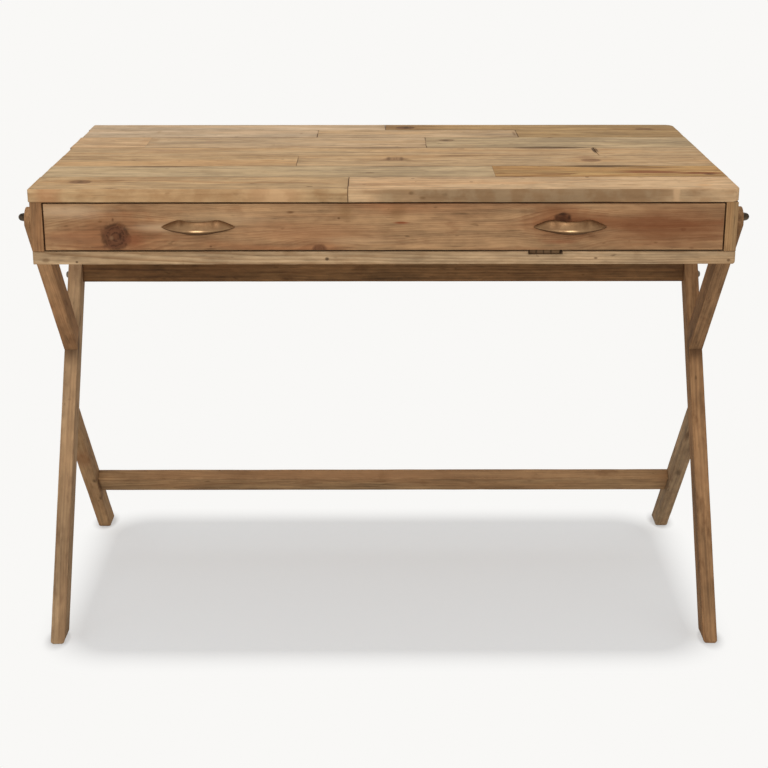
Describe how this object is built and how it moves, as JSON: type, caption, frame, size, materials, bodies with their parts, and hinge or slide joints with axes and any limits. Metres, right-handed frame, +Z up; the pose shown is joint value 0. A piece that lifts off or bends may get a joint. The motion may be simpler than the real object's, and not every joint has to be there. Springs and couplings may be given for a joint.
{
  "type": "campaign desk",
  "caption": "Writing desk of reclaimed pine: a planked top on a shallow case with one wide drawer, brass bow pulls, and crossed side frames joined by stretchers.",
  "frame": {"origin": "on the floor, in the middle of the overall footprint with the drawer closed", "axes": "+X to the right seen from the drawer side, +Y from the drawer towards the back, +Z up"},
  "size_m": [1.125, 0.624, 0.77],
  "materials": {
    "top_pine": "light waxed pine, board to board differences",
    "case_pine": "reddish brown waxed pine",
    "frame_pine": "brown waxed pine",
    "inner_pine": "bare pine",
    "antique_brass": "dulled cast brass",
    "dark_steel": "blackened steel",
    "plain_steel": "plain steel"
  },
  "bodies": {
    "desk": {"back_panel": "case_pine", "case_bolts": "dark_steel", "case_inserts": "plain_steel", "closing_stops": "inner_pine", "front_rail": "case_pine", "left_front_strut": "frame_pine", "left_kicker": "inner_pine", "left_long_leg": "frame_pine", "left_rear_strut": "frame_pine", "left_runner": "inner_pine", "left_side_panel": "case_pine", "left_stile": "case_pine", "lower_stretcher": "frame_pine", "pull_out_stops": "inner_pine", "rear_rail": "case_pine", "right_front_strut": "frame_pine", "right_kicker": "inner_pine", "right_long_leg": "frame_pine", "right_rear_strut": "frame_pine", "right_runner": "inner_pine", "right_side_panel": "case_pine", "right_stile": "case_pine", "stretcher_bolts": "dark_steel", "strut_dowels": "inner_pine", "top_batten": "inner_pine", "top_board_1_left": "top_pine", "top_board_1_right": "top_pine", "top_board_2_left": "top_pine", "top_board_2_right": "top_pine", "top_board_3_left": "top_pine", "top_board_3_right": "top_pine", "top_board_4_left": "top_pine", "top_board_4_right": "top_pine", "top_board_5_left": "top_pine", "top_board_5_middle": "top_pine", "top_board_5_right": "top_pine", "top_board_6_left": "top_pine", "top_board_6_middle": "top_pine", "top_board_6_right": "top_pine", "top_board_7_left": "top_pine", "top_board_7_right": "top_pine", "upper_stretcher": "frame_pine"},
    "drawer": {"drawer_front": "case_pine", "drawer_left_side": "inner_pine", "drawer_right_side": "inner_pine", "drawer_back": "inner_pine", "drawer_bottom": "inner_pine", "drawer_muntin": "inner_pine", "left_pull": "antique_brass", "right_pull": "antique_brass", "pull_screws": "plain_steel"}
  },
  "joints": [
    {"name": "drawer_slide", "type": "slide", "parent": "desk", "child": "drawer", "axis": [0, -1, 0], "range_m": [0, 0.38]}
  ]
}
